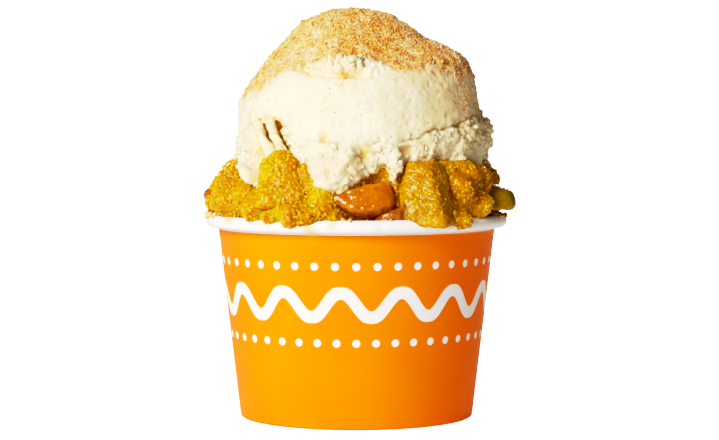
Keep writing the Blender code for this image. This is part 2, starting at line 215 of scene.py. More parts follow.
# Rings of (radius, height) rows turned about the axis; shift moves them out by azimuth and height
def turnedRings(section, columns, shift=None):
    section = np.array(section, float)
    turn = np.linspace(0, 2 * np.pi, columns, endpoint=False)[None, :]
    radius, height = section[:, :1] + 0 * turn, section[:, 1:] + 0 * turn
    if shift is not None:
        radius = radius + shift(np.degrees(turn), height)
    return np.stack([radius * np.cos(turn), radius * np.sin(turn), height], axis=-1)


# A ball of 20 faces, or of four times as many for each split, and its faces for a number of copies
def ballShape(splits, count):
    work = bmesh.new()
    bmesh.ops.create_icosphere(work, subdivisions=splits + 1, radius=1)
    work.verts.ensure_lookup_table()
    points = np.array([v.co[:] for v in work.verts])
    faces = np.array([[v.index for v in f.verts] for f in work.faces])
    work.free()
    copies = faces[None] + (np.arange(count) * len(points))[:, None, None]
    return points, copies.reshape(-1, 3)


# Random turns as 3 by 3 matrices, from unit quaternions
def randomTurns(draw, count):
    q = draw.normal(size=(count, 4))
    w, x, y, z = (q / np.linalg.norm(q, axis=1, keepdims=True)).T
    rows = [
        [1 - 2 * (y * y + z * z), 2 * (x * y - z * w), 2 * (x * z + y * w)],
        [2 * (x * y + z * w), 1 - 2 * (x * x + z * z), 2 * (y * z - x * w)],
        [2 * (x * z - y * w), 2 * (y * z + x * w), 1 - 2 * (x * x + y * y)],
    ]
    return np.moveaxis(np.array(rows), -1, 0)


# Helpers for materials

# sRGB hex to linear
def colour(hexText):
    parts = [int(hexText[k:k + 2], 16) / 255 for k in (1, 3, 5)]
    return (*[c / 12.92 if c <= 0.04045 else ((c + 0.055) / 1.055) ** 2.4 for c in parts], 1)


# A node material with values for its shader, and what adds a node to it
def newMaterial(name, **values):
    material = bpy.data.materials.new(name)
    material.use_nodes = True
    tree = material.node_tree
    for socket, value in values.items():
        tree.nodes["Principled BSDF"].inputs[socket.replace("_", " ")].default_value = value
    return material, functools.partial(addNode, tree)


# Adds one node and gives its output. Its inputs are values or outputs to link, its settings go by name,
# and the stops of a colour ramp are (position, colour).
def addNode(tree, kind, inputs=None, output=0, stops=None, **settings):
    node = tree.nodes.new("ShaderNode" + kind)
    for name, value in settings.items():
        setattr(node, name, value)
    for socket, value in (inputs or {}).items():
        if isinstance(value, bpy.types.NodeSocket):
            tree.links.new(value, node.inputs[socket])
        else:
            node.inputs[socket].default_value = value
    if stops:
        ramp = node.color_ramp.elements
        while len(ramp) < len(stops):
            ramp.new(0.5)
        for stop, (position, hexText) in zip(ramp, stops):
            stop.position = position
            stop.color = colour(hexText)
    return node.outputs[output]


# Links outputs to the sockets of a material's shader or of a world's background
def feedShader(owner, **sources):
    nodes = owner.node_tree.nodes
    shader = nodes.get("Principled BSDF") or nodes["Background"]
    for socket, source in sources.items():
        owner.node_tree.links.new(source, shader.inputs[socket.replace("_", " ")])


# Camera, floor and lights. The camera stands where the perspective of the tub's rim and foot puts it.
# Heights of the curve below run from black to twice white, and give the firm contrast of the picture.
studio = {
    "cameraPlace": (1, -727, 101),
    "cameraDip": 2.93,
    "lens": 111.4,
    "sensor": 36,
    # place, size and power in watts of each lamp, and the place that all of them face
    "lamps": {
        "keyLamp": ((-610, -830, 600), 520, 19.2),
        "fillLamp": ((-220, -620, 150), 200, 0.6),
        "backLamp": ((0, 980, 300), 520, 8.0),
    },
    "target": (0, 0, 75),
    "skyPower": 0.19,
    "skyWhite": 2.1,
    "floorHalf": 5000,
    "floorDrop": 0.1,
    "floorGlow": 0.3,
    "floorWhite": 1.9,
    "whiteLevel": 2.0,
    "contrast": (
        (0.01, 0.001), (0.025, 0.010), (0.075, 0.068), (0.125, 0.16), (0.21, 0.36), (0.32, 0.61),
        (0.425, 0.74), (0.63, 0.88), (0.85, 0.972),
    ),
}


def addLamp(name, place, size, power):
    lamp = bpy.data.lights.new(name, "AREA")
    lamp.shape = "SQUARE"
    lamp.size = size * mm
    lamp.energy = power
    holder = bpy.data.objects.new(name, lamp)
    bpy.context.scene.collection.objects.link(holder)
    holder.location = [value * mm for value in place]
    away = holder.location - mathutils.Vector([value * mm for value in studio["target"]])
    holder.rotation_euler = away.to_track_quat("Z", "Y").to_euler()


def setStudio():
    scene = bpy.context.scene
    camera = bpy.data.objects.new("camera", bpy.data.cameras.new("camera"))
    scene.collection.objects.link(camera)
    camera.location = [value * mm for value in studio["cameraPlace"]]
    camera.rotation_euler = (math.radians(90 - studio["cameraDip"]), 0, 0)
    camera.data.lens = studio["lens"]
    camera.data.sensor_width = studio["sensor"]
    scene.camera = camera

    # Translucent white table lit from below: it burns out to white and gives the piece only a little
    sweep, add = newMaterial(
        "lightTable", Base_Color=colour("#DEDEDE"), Roughness=0.9, Emission_Color=(1, 1, 1, 1)
    )
    seen = add("LightPath")
    glow = add("MapRange", {"Value": seen, "To Min": studio["floorGlow"], "To Max": studio["floorWhite"]})
    feedShader(sweep, Emission_Strength=glow)
    mesh = bpy.data.meshes.new("floor")
    edge, low = studio["floorHalf"] * mm, -studio["floorDrop"] * mm
    corners = [(-edge, -edge, low), (edge, -edge, low), (edge, edge, low), (-edge, edge, low)]
    mesh.from_pydata(corners, [], [(0, 1, 2, 3)])
    mesh.materials.append(sweep)
    floor = bpy.data.objects.new("floor", mesh)
    scene.collection.objects.link(floor)
    for name, (place, size, power) in studio["lamps"].items():
        addLamp(name, place, size, power)

    # The backdrop is plain white, and gives the piece a weaker even light
    world = bpy.data.worlds.new("whiteRoom")
    scene.world = world
    world.use_nodes = True
    world.node_tree.nodes["Background"].inputs["Color"].default_value = (1, 1, 1, 1)
    seen = addNode(world.node_tree, "LightPath")
    sky = {"Value": seen, "To Min": studio["skyPower"], "To Max": studio["skyWhite"]}
    feedShader(world, Strength=addNode(world.node_tree, "MapRange", sky))

    view = scene.view_settings
    view.view_transform = "Standard"
    view.use_curve_mapping = True
    level = studio["whiteLevel"]
    view.curve_mapping.white_level = (level, level, level)
    curve = view.curve_mapping.curves[3]
    for across, up in studio["contrast"]:
        curve.points.new(across, up)
    view.curve_mapping.update()


setStudio()
print("studio is set")


# Tub of coated board
tub = {
    "height": 66.0,
    "rimRadius": 49.0,
    "rollRadius": 2.1,
    "footRadius": 37.9,
    "neckRadius": 45.4,
    "board": 0.6,
    "hemHeight": 6.5,
    "columns": 288,
    # the roll of the rim runs round between these degrees, in so many points
    "rollTurn": (-58, 258, 30),
    "lapAzimuth": -83.0,
    "lapRise": 0.24,
    "lapDip": 0.16,
    "seamAzimuth": 97.0,
    "seamRise": 0.28,
    "clear": 0.3,
    "neckHeight": 61.7,
    "inkShades": ("#FB8104", "#FE8605"),
    "whiteShades": ("#F3ECE0", "#F7F3ED"),
    "juice": "#EBBE62",
    # juice run down the rim: azimuth, half width, height, half height, strength
    "stains": (
        (-107, 2.8, 63.2, 1.7, 0.9), (-112.5, 1.5, 64.6, 1.3, 0.7), (-99, 2.0, 64.4, 1.5, 0.7),
        (-127, 5.0, 65.2, 1.4, 0.7), (-56, 2.4, 64.6, 1.4, 0.6), (-146, 3.6, 65.0, 1.3, 0.8),
    ),
    "ribbonHeight": 39.5,
    "ribbonSwing": 3.8,
    "ribbonCount": 14,
    "ribbonHalf": 1.9,
    "dotHeights": (51.5, 27.5),
    "dotRadius": 1.2,
    "dotCount": 42,
    "inkEdge": 0.16,
    "inkTop": 61.6,
}
rollCentre = (tub["rimRadius"] - tub["rollRadius"], tub["height"] - tub["rollRadius"])
wallSlope = (tub["neckRadius"] - tub["footRadius"]) / rollCentre[1]


# The wall widens evenly from its foot
def wallRadius(height):
    return tub["footRadius"] + wallSlope * height


# Cup board: bleached board with a thin satin coat, so it shines softly and shows a faint tooth.
# Its outside is printed a solid orange, with a white ribbon and two rows of dots left bare all round.
def coatedBoardMaterial():
    material, add = newMaterial("coatedBoard", Specular_IOR_Level=0.09)
    place = add("TexCoord", output="Object")
    parts = add("SeparateXYZ", {0: place}).node.outputs
    height = add("Math", {0: parts["Z"], 1: 1 / mm}, operation="MULTIPLY")
    turn = add("Math", {0: parts["Y"], 1: parts["X"]}, operation="ARCTAN2")

    # White within a distance of a line or a point, with an edge as soft as ink has
    def within(distance, limit):
        edge = tub["inkEdge"]
        fall = {"Value": distance, "From Min": limit - edge, "From Max": limit + edge}
        return add("MapRange", {**fall, "To Min": 1.0, "To Max": 0.0})

    # Ribbon: height off a sine wave, divided by the length of its slope so that it is evenly wide
    count, swing = float(tub["ribbonCount"]), tub["ribbonSwing"]
    phase = add("Math", {0: turn, 1: count}, operation="MULTIPLY")
    sine = add("Math", {0: phase}, operation="SINE")
    cosine = add("Math", {0: phase}, operation="COSINE")
    middle = add("Math", {0: sine, 1: swing, 2: tub["ribbonHeight"]}, operation="MULTIPLY_ADD")
    off = add("Math", {0: height, 1: middle}, operation="SUBTRACT")
    off = add("Math", {0: off}, operation="ABSOLUTE")
    steep = swing * count / wallRadius(tub["ribbonHeight"])
    slope = add("Math", {0: cosine, 1: steep}, operation="MULTIPLY")
    slope = add("Math", {0: slope, 1: slope, 2: 1.0}, operation="MULTIPLY_ADD")
    slope = add("Math", {0: slope}, operation="SQRT")
    off = add("Math", {0: off, 1: slope}, operation="DIVIDE")
    white = within(off, tub["ribbonHalf"])

    # Dots: distance from the middle of each share of the turn
    share = add("Math", {0: turn, 1: tub["dotCount"] / (2 * math.pi)}, operation="MULTIPLY")
    share = add("Math", {0: share}, operation="FRACT")
    for dotHeight in tub["dotHeights"]:
        spacing = 2 * math.pi * wallRadius(dotHeight) / tub["dotCount"]
        across = add("Math", {0: share, 1: spacing, 2: -0.5 * spacing}, operation="MULTIPLY_ADD")
        upward = add("Math", {0: height, 1: dotHeight}, operation="SUBTRACT")
        spot = add("CombineXYZ", {0: across, 1: upward})
        span = add("VectorMath", {0: spot}, "Value", operation="LENGTH")
        white = add("Math", {0: white, 1: within(span, tub["dotRadius"])}, operation="MAXIMUM")

    # The ink ends under the rim, and the inside, the rim and the foot's turned edge are bare
    edge = {"From Min": tub["inkTop"] - tub["inkEdge"], "From Max": tub["inkTop"] + tub["inkEdge"]}
    over = add("MapRange", {"Value": height, **edge})
    white = add("Math", {0: white, 1: over}, operation="MAXIMUM")
    bare = add("Attribute", output="Fac", attribute_name="bare")
    white = add("Math", {0: white, 1: bare}, operation="MAXIMUM", use_clamp=True)

    cloud = add("TexNoise", {"Vector": place, "Scale": 60.0, "Detail": 2.0})
    ink = add("ValToRGB", {"Fac": cloud}, stops=tuple(zip((0.3, 0.7), tub["inkShades"])))
    boardWhite = add("ValToRGB", {"Fac": cloud}, stops=tuple(zip((0.3, 0.7), tub["whiteShades"])))
    printed = add("Mix", {0: white, 6: ink, 7: boardWhite}, 2, data_type="RGBA")
    stain = add("Attribute", output="Fac", attribute_name="stain")
    stained = add("Mix", {0: stain, 6: printed, 7: colour(tub["juice"])}, 2, data_type="RGBA")
    tooth = add("TexNoise", {"Vector": place, "Scale": 900.0, "Detail": 3.0})
    relief = add("Bump", {"Height": tooth, "Strength": 0.06, "Distance": 0.2 * mm})
    rough = add("MapRange", {"Value": cloud, "To Min": 0.42, "To Max": 0.52})
    feedShader(material, Base_Color=stained, Normal=relief, Roughness=rough)
    return material


coatedBoard = coatedBoardMaterial()


# The wall's section: foot, sloping wall, a full roll of the rim and back down the inside to the hem.
# The overlap of the blank is a ridge down the back, and a fine line crosses the roll in front.
def makeTub():
    board, hemHeight, neck = tub["board"], tub["hemHeight"], tub["neckHeight"]
    gap = board + 2 * tub["clear"]
    outside = [(wallRadius(0) - 0.3, 0), (wallRadius(0), 0.3), (wallRadius(0) + 0.12, 1.0)]
    outside += [(wallRadius(z) + 0.02, z) for z in (2.0, 3.5, 8, 16, 26, 36, 46, 54, 58, 60.6)]
    outside += [(wallRadius(neck) + 0.05, neck)]
    across, up = rollCentre
    turns = np.radians(np.linspace(*tub["rollTurn"]))
    roll = [(across + tub["rollRadius"] * math.cos(a), up + tub["rollRadius"] * math.sin(a)) for a in turns]
    inside = [(wallRadius(z) - board, z) for z in (61.0, 58, 46, 30, 16, 8)]
    hem = [
        (wallRadius(board) - board, board),
        (wallRadius(board) - board - gap, board),
        (wallRadius(hemHeight) - board - gap, hemHeight),
        (wallRadius(hemHeight) - 2 * board - gap, hemHeight),
        (wallRadius(0.3) - 2 * board - gap, 0.3),
        (wallRadius(0) - 2 * board - gap + 0.3, 0),
    ]
    section = outside + roll + inside + hem

    def lap(azimuth, height):
        ridge = tub["lapRise"] * bump(azimuth, tub["lapAzimuth"], 0.9)
        ridge = ridge - tub["lapDip"] * bump(azimuth, tub["lapAzimuth"] + 1.9, 0.8)
        seam = tub["seamRise"] * smoothStep(-5.2, -4.9, azimuth - tub["seamAzimuth"])
        seam = seam * (1 - smoothStep(4.6, 5.0, azimuth - tub["seamAzimuth"]))
        uneven = 0.10 * np.sin(np.radians(azimuth * 3 + 40)) * smoothStep(20, 60, height)
        return ridge * smoothStep(61.5, 63.0, height) + seam + uneven

    columns = tub["columns"]
    rings = turnedRings(section, columns, lap)
    quads = ringQuads(len(section), columns, loop=True)
    places = rings.reshape(-1, 3)
    piece = makePiece("tubWall", places, quads, [], coatedBoard, node="cup_wall", slot="printed_board")
    bare = (np.arange(len(section)) >= len(outside)).astype(float)
    markPoints(piece, "bare", np.repeat(bare, columns))
    turn = np.degrees(np.arctan2(places[:, 1], places[:, 0]))
    stain = 0
    for at, width, height, half, strength in tub["stains"]:
        along = bump(turn + 1.5 * waves(places / 2.0, 9), at, width)
        stain = stain + strength * along * np.exp(-(((places[:, 2] - height) / half) ** 2))
    markPoints(piece, "stain", np.clip(stain, 0, 1))


# The base is the same board, unprinted, with its edge turned down into the hem
def makeTubBase():
    board, clear = tub["board"], tub["clear"]
    low = out = board + clear
    underside = tub["hemHeight"] + clear
    top = underside + board
    section = [
        (0.6, underside),
        (wallRadius(underside) - out - board - 0.5, underside),
        (wallRadius(underside) - out - board, underside - 0.5),
        (wallRadius(low) - out - board, low),
        (wallRadius(low) - out, low),
        (wallRadius(top) - out, top - 0.4),
        (wallRadius(top) - out - 0.4, top),
        (0.6, top),
    ]
    rings = turnedRings(section, tub["columns"])
    ends = ((0, 0, underside), (0, 0, top))
    piece = makeShell("tubBase", rings, *ends, coatedBoard, node="cup_base", slot="white_board")
    markPoints(piece, "bare", np.ones(len(piece.data.vertices)))


makeTub()
makeTubBase()
print("tub is made")


# Scoop of ice cream: four outlines blended round it, a flat base, a ragged skirt and a torn place
scoop = {
    "centre": np.array([0, 0, 100.0]),
    "underside": 20.0,
    "columns": 448,
    "rows": 200,
    "outlines": (
        (
            (38.8, 83), (39.6, 90), (39.5, 97), (38.3, 104), (36.2, 109.4), (33.0, 112.8),
            (29.6, 114.8), (25.2, 118.4), (19.6, 122.8), (13.2, 127.4), (7.0, 130.8), (0, 132.3),
        ),
        (
            (40.6, 83), (43.4, 88), (44.0, 94), (40.6, 98.4), (39.5, 103), (38.4, 108.8),
            (37.3, 113.6), (34.6, 117.4), (30.0, 119.8), (22.6, 121.8), (17.6, 126.2), (11.4, 130.8),
            (0, 132.3),
        ),
        (
            (39.4, 84), (40.6, 90), (40.2, 97), (38.6, 104.5), (35.6, 111), (31.0, 117),
            (25.0, 122.4), (17.6, 127), (9.4, 130.8), (0, 132.3),
        ),
        (
            (38.8, 84), (38.4, 92), (38.9, 99), (38.8, 103), (36.2, 106), (33.0, 110),
            (29.2, 115.2), (25.0, 120.2), (21.0, 124.6), (15.6, 128.8), (9.0, 131.4), (0, 132.3),
        ),
    ),
    # azimuth, half width, drop of the edge, how far it stands out, and lean: degrees round for each down.
    # A leaning lobe narrows towards its tip.
    "lobes": (
        (-20, 9, 1.0, 1.2, 0), (-38, 6, 4.0, 2.4, 0), (-56, 8, 1.0, 1.6, 0), (-72.5, 4, 5.0, 3.8, 0),
        (-100, 14, 9.0, 8.0, 0), (-147, 8.5, 10.0, 10.6, 1.3), (-168, 10, 1.0, 0.6, 0),
        (150, 12, 5.0, 4.0, 0), (118, 9, 8.0, 6.0, 0), (86, 12, 4.0, 3.0, 0), (56, 9, 8.0, 6.0, 0),
        (24, 11, 3.0, 1.5, 0),
    ),
    "leanFrom": -16,
    # azimuth, half width, rise of the edge, depth, and the tilt at which it starts; it leans as its leg does
    "tear": (-134, 7.2, 13.0, 5.2, -3),
    "tearLean": 1.0,
    # lower edge of the crumb dust, as azimuth and tilt
    "dustEdge": (
        (-180, 4), (-160, 5), (-146, 8), (-140, 12), (-130, 18), (-117, 19), (-105, 16), (-94, 15),
        (-85, 20), (-76, 22), (-58, 19), (-40, 17), (-20, 12), (0, 12), (30, 17), (60, 20), (90, 18),
        (135, 12),
    ),
    # pale torn lip over the front edge of the dust: azimuth, half width, tilt, half height
    "lip": (-96, 15, 22.5, 3.6),
    # how thick the dust lies, by azimuth
    "dustDepth": ((-180, 0.8), (-130, 0.7), (-100, 0.95), (-60, 1.0), (-20, 0.7), (60, 0.95), (130, 0.85)),
    # thin dust on the right side, which also darkens that shaded side as painted shade: azimuth, half width,
    # the heights between which it comes, depth
    "rightDustAndShade": (-14, 30, 88, 95, 0.28),
    # height above which the skirt is smooth, by azimuth
    "ragLine": (
        (-180, 93), (-150, 97), (-134, 99), (-112, 91), (-90, 90), (-72, 91.6), (-48, 96), (-28, 99),
        (-8, 101.5), (25, 98), (90, 94), (150, 91),
    ),
    # small pits in the torn part, tinted gold inside, partly syrup and partly painted shade: azimuth, tilt,
    # half width in mm, depth
    "pits": ((-104, -11.5, 1.2, 2.2), (-86, -18, 1.9, 2.2), (-38, -7, 1.6, 1.2)),
    # strands of cream across the tear: from, to, radius
    "strands": (
        ((-31.4, -19.6, 98.0), (-26.0, -31.0, 85.6), 1.5),
        ((-27.0, -24.2, 99.6), (-22.8, -32.4, 86.4), 1.3),
    ),
    "grainCount": 9000,
    "largeGrains": 14,
    "clodCount": 560,
}


# One outline as reach from the centre by tilt, averaged over 3 degrees to each side
def outlineReach(outline, tilt):
    outline = np.array(outline, float)
    rise = outline[:, 1] - scoop["centre"][2]
    at = np.degrees(np.arctan2(rise, outline[:, 0]))
    out = np.hypot(outline[:, 0], rise)
    return np.mean([np.interp(tilt + away, at, out) for away in np.linspace(-3, 3, 9)], axis=0)


# The torn arch leans as the leg beside it does: its azimuth at each tilt
def tearAzimuth(tilt):
    return scoop["tear"][0] + scoop["tearLean"] * np.clip(scoop["leanFrom"] - tilt, 0, 16)


# Reach of the scoop: the outlines blended from one quarter turn to the next, with a swelling for each
# lobe and a hollow for the tear, in a power mean with a flat base that hangs down at the same places
def scoopReach(azimuth, tilt):
    way = direction(azimuth, tilt)
    level = np.hypot(way[..., 0], way[..., 1])
    turn = (azimuth + 90) % 360 / 90
    first = np.floor(turn).astype(int) % 4
    share = smoothStep(0, 1, turn - np.floor(turn))
    sides = np.stack([outlineReach(outline, tilt) + 0 * azimuth for outline in scoop["outlines"]])
    near = np.take_along_axis(sides, first[None], axis=0)[0]
    far = np.take_along_axis(sides, (first[None] + 1) % 4, axis=0)[0]
    side = near + (far - near) * share
    drop, stand = 0, 0
    for at, width, down, out, lean in scoop["lobes"]:
        below = np.clip(scoop["leanFrom"] - tilt, -12, 16)
        amount = bump(azimuth, at + lean * below, width * (1 - 0.04 * lean * np.clip(below, 0, 12)))
        drop = drop + amount * down
        stand = stand + amount * out
    _, width, rise, depth, start = scoop["tear"]
    at = tearAzimuth(tilt)
    ring = direction(azimuth, 0) * 40
    ragged = 1.5 * waves(ring / 3.1, 5) + 0.9 * waves(ring / 1.4, 6)
    drop = drop - rise * bump(azimuth, at, width) + ragged
    torn = depth * bump(azimuth + 2.0 * waves(way * 16, 8), at, width) * smoothStep(-start, 6 - start, -tilt)
    side = side + stand * smoothStep(6, 26, -tilt) / np.maximum(level, 0.5) - torn
    base = (scoop["underside"] + drop * smoothStep(0.45, 0.8, level)) / np.maximum(-way[..., 2], 0.001)
    return (side**-16.0 + base**-16.0) ** (-1 / 16)


# Torn ice cream: soft lumps with creases between, finer crumbly breaks on them, and a few deep pits
def tornRelief(points):
    warped = points + 1.5 * wander(points / 4.5, 41)
    lumps = puffs(warped / np.array([6.4, 6.4, 4.6]), 2, 45)
    breaks = puffs(warped / np.array([2.0, 2.0, 1.7]), 3, 49)
    crests = 1 - np.abs(waves(warped / np.array([3.6, 3.6, 2.6]), 47))
    pits = smoothStep(0.42, 0.72, waves(points / np.array([5.0, 5.0, 7.0]), 51))
    return 2.0 * (lumps - 0.45) + 0.85 * (breaks - 0.5) + 0.5 * (crests - 0.7) - 2.0 * pits


# A grid of reach times direction, moved along its normals: broad swells all over, the drag and pores of
# the spoon's cut where it is smooth, torn relief below the rag line, and crumbly dust on top
def makeScoop():
    under = np.array([-84, -70, -56, -46, -40, -36])
    tilts = np.concatenate([under, np.linspace(-34, 88.6, scoop["rows"] - len(under))])
    azimuth, tilt = ringGrid(tilts, scoop["columns"])
    points = scoop["centre"] + direction(azimuth, tilt) * scoopReach(azimuth, tilt)[..., None]

    # Where the dust lies, and the pale broken lip that is bare at its front edge
    edge = roundTable(scoop["dustEdge"], azimuth)
    at, width, line, half = scoop["lip"]
    lipSpan = bump(azimuth, at, width)
    lip = lipSpan**0.6 * np.exp(-(((tilt - line - 2.4 * waves(points / 4.0, 64)) / half) ** 2))
    ragged = edge + 4.5 * waves(points / 7.0, 31) + 3 * waves(points / 2.6, 32)
    dust = smoothStep(ragged - 3, ragged + 6, tilt) * roundTable(scoop["dustDepth"], azimuth)
    dust = dust * (1 - np.clip(1.4 * lip, 0, 1))

    # The right side and its flange carry a thin dust too: partly real crumbs, partly painted shade on that
    # shaded side
    height = points[..., 2]
    thinAt, thinWidth, low, high, thickness = scoop["rightDustAndShade"]
    thin = thickness * bump(azimuth, thinAt, thinWidth)
    dust = np.maximum(dust, thin * smoothStep(low, high, height + 2 * waves(points / 5.0, 33)))

    # Below the rag line, and on the lip, the scoop is torn
    ragLine = roundTable(scoop["ragLine"], azimuth)
    ragLine = ragLine + 2.2 * waves(points / 6.0, 21) + 1.0 * waves(points / 2.2, 22)
    rag = (1 - smoothStep(-2.6, 0.6, height - ragLine)) * smoothStep(-70, -40, tilt)
    rag = np.clip(rag + 0.8 * lip, 0, 1)
    torn = tornRelief(points) * (1 - 0.4 * bump(azimuth, -57, 15))
    broad = 0.6 * fractal(points / 15.0, 3, 11)
    drag = 0.14 * waves(points / np.array([9.0, 9.0, 0.9]), 12) + 0.12 * fractal(points / 2.2, 3, 13)
    pores = -0.3 * smoothStep(0.36, 0.6, waves(points / 1.5, 14))
    clods = 0.55 * fractal(points / 3.0, 3, 61) + 0.2 * waves(points / 0.9, 63)
    ledge = 1.7 * np.exp(-(((height - ragLine + 1.6) / 0.9) ** 2)) * bump(azimuth, -46, 28)
    shift = broad + (drag + pores) * (1 - rag) * (1 - dust) + torn * rag + (clods + 0.3) * dust
    crumbly = puffs(points / np.array([2.4, 2.4, 1.7]), 2, 66)
    groove = lipSpan * np.exp(-(((tilt - line + 5.6) / 1.7) ** 2))
    pit = 0
    for pitAt, pitLine, pitHalf, depth in scoop["pits"]:
        away = np.hypot(azimuth - pitAt, tilt - pitLine) * 0.7 + 0.7 * waves(points / 1.8, 67)
        pit = pit + depth * np.exp(-((away / pitHalf) ** 2))
    shift = shift + (0.6 + 6.2 * crumbly) * lip - 1.4 * groove - ledge - pit
    points = raised(points, shift)

    bottom = (0, 0, scoop["centre"][2] - scoop["underside"])
    top = points[-1].mean(axis=0) + [0, 0, 0.1]
    piece = makeShell("iceCream", points, bottom, top, vanilla, node="ice_cream", slot="vanilla_ice_cream")

    # Golden tint: syrup soaked along the lower edge is real; in the creases and the pits it is partly syrup
    # and partly painted shade, inside the torn arch it is painted shade, and in the groove under the lip it
    # is a painted shadow
    _, width, _, _, start = scoop["tear"]
    gap = bump(azimuth, tearAzimuth(tilt), width * 0.85) * smoothStep(-start - 1, 5 - start, -tilt)
    level = np.hypot(points[..., 0], points[..., 1])
    lowest = np.min(np.where(level > 36, points[..., 2], 999), axis=0)
    soak = 1 - smoothStep(0.5, 4.5, points[..., 2] - lowest + 2.5 * waves(points / 4.0, 68))
    # Creases of the torn relief are tinted gold: partly syrup, partly painted shade
    syrupAndShade = np.clip(-0.2 - 0.25 * torn, 0, 0.4) * rag * (1 - lip) * (1 - bump(azimuth, -146, 9))
    # Painted shadow: the groove under the lip is tinted gold in patches
    lipShadow = 0.5 * groove * smoothStep(-0.1, 0.4, waves(points / 3.5, 69))
    syrupAndShade = syrupAndShade + 0.12 * soak * smoothStep(-125, -110, azimuth) + 0.8 * gap + lipShadow + 0.22 * pit
    syrupAndShade = np.clip(syrupAndShade, 0, 1)
    markPoints(piece, "dust", dust, (0, 1))
    markPoints(piece, "syrupAndShade", syrupAndShade, (0, 0))
    markPoints(piece, "rag", rag, (0, 0))
    return points, ringNormals(points), dust, np.clip(rag - 5 * syrupAndShade, 0, 1), azimuth


# Vanilla ice cream: frozen cream with air in it, so light goes in and comes back softened and warm.
# A few dark specks of vanilla seed, a fine crystal tooth, crumb powder on top, and a golden tint in the
# hollows that is partly syrup and partly painted shade.
def vanillaMaterial():
    material, add = newMaterial(
        "vanillaIceCream", Roughness=0.45, Subsurface_Weight=0.4, Subsurface_Radius=(1.0, 0.8, 0.58),
        Subsurface_Scale=1.4 * mm, Specular_IOR_Level=0.35, IOR=1.35
    )
    place = add("TexCoord", output="Object")
    dust = add("Attribute", output="Fac", attribute_name="dust")
    syrupAndShade = add("Attribute", output="Fac", attribute_name="syrupAndShade")
    rag = add("Attribute", output="Fac", attribute_name="rag")
    cloud = add("TexNoise", {"Vector": place, "Scale": 90.0, "Detail": 4.0})
    cream = add("ValToRGB", {"Fac": cloud}, stops=((0.35, "#EBD5A9"), (0.65, "#F3E2BD")))
    # Painted shade, partly syrup: the cream is tinted gold where the point lies in a crease, a pit, the torn
    # arch or under the lip
    tints = ((0.0, "#FFFFFF"), (0.4, "#F8E6B8"), (1.0, "#FAD082"))
    syrupAndShadeTint = add("ValToRGB", {"Fac": syrupAndShade}, stops=tints)
    stained = add("Mix", {0: 1.0, 6: cream, 7: syrupAndShadeTint}, 2, data_type="RGBA", blend_type="MULTIPLY")

    # Seeds: specks of 0.3 mm
    seeds = add("TexVoronoi", {"Vector": place, "Scale": 330.0})
    fall = {"From Min": 0.06, "From Max": 0.12, "To Min": 0.7, "To Max": 0.0}
    speck = add("MapRange", {"Value": seeds, **fall})
    seeded = add("Mix", {0: speck, 6: stained, 7: colour("#5E4526")}, 2, data_type="RGBA")

    # Powder of crumbs, in grains of 0.6 mm and drifts of 5 mm
    grain = add("TexNoise", {"Vector": place, "Scale": 1500.0, "Detail": 3.0})
    drift = add("TexNoise", {"Vector": place, "Scale": 210.0, "Detail": 4.0})
    tones = ((0.34, "#C87420"), (0.5, "#DE923A"), (0.66, "#EEC07E"))
    powder = add("ValToRGB", {"Fac": grain}, stops=tones)
    cover = add("MapRange", {"Value": drift, "From Min": 0.34, "From Max": 0.54})
    speckle = add("MapRange", {"Value": grain, "From Min": 0.62, "From Max": 0.4})
    cover = add("Math", {0: cover, 1: speckle}, operation="ADD")
    cover = add("Math", {0: cover, 1: 0.62}, operation="MULTIPLY", use_clamp=True)
    cover = add("Math", {0: cover, 1: dust}, operation="MULTIPLY", use_clamp=True)
    dusted = add("Mix", {0: cover, 6: seeded, 7: powder}, 2, data_type="RGBA")

    # Fine crystals all over, and coarser broken ones where the cream is torn
    crystals = add("TexNoise", {"Vector": place, "Scale": 1300.0, "Detail": 4.0})
    fine = add("Bump", {"Height": crystals, "Strength": 0.3, "Distance": 0.4 * mm})
    coarse = add("TexNoise", {"Vector": place, "Scale": 620.0, "Detail": 5.0, "Roughness": 0.68})
    broken = add("Math", {0: coarse, 1: rag}, operation="MULTIPLY")
    relief = add("Bump", {"Height": broken, "Normal": fine, "Strength": 0.6, "Distance": 1.1 * mm})
    feedShader(material, Base_Color=dusted, Normal=relief)
    return material


vanilla = vanillaMaterial()
scoopPoints, scoopNormals, scoopDust, scoopCrests, scoopAzimuth = makeScoop()


# A round section carried along a path, thinner or thicker as the radii say, with closed ends
def makeTube(name, path, radii, columns, material, **more):
    along = np.gradient(path, axis=0)
    along = along / np.linalg.norm(along, axis=1, keepdims=True)
    across = np.cross(along, [0.0, 1.0, 0.0])
    across = across / np.linalg.norm(across, axis=1, keepdims=True)
    other = np.cross(along, across)
    turn = np.linspace(0, 2 * np.pi, columns, endpoint=False)[None, :, None]
    rings = np.cos(turn) * across[:, None] + np.sin(turn) * other[:, None]
    rings = path[:, None] + radii[:, None, None] * rings
    rings = raised(rings, 0.45 * fractal(rings / 1.8, 3, 160))
    return makeShell(name, rings, path[0] - along[0] * 0.3, path[-1] + along[-1] * 0.3, material, **more)


# Strands bow outwards between their ends and are thinnest in the middle
def makeStrands():
    share = np.linspace(0, 1, 40)[:, None]
    for index, (start, end, radius) in enumerate(scoop["strands"]):
        path = np.array(start) + (np.array(end) - np.array(start)) * share
        path = path * (1 + np.array([0.05, 0.05, 0]) * np.sin(share * np.pi))
        path = path + 0.8 * wander(path / 4.0, 150 + 3 * index)
        radii = radius * (1.7 - 0.75 * np.sin(share[:, 0] * np.pi) ** 0.7 + 0.25 * waves(path / 2.4, 159))
        name = "creamStrand%d" % (index + 1)
        piece = makeTube(name, path, radii, 36, vanilla, slot="vanilla_ice_cream")
        count = len(piece.data.vertices)
        markPoints(piece, "syrupAndShade", np.full(count, 0.12))
        markPoints(piece, "rag", np.full(count, 0.5))


makeStrands()
print("scoop is made")


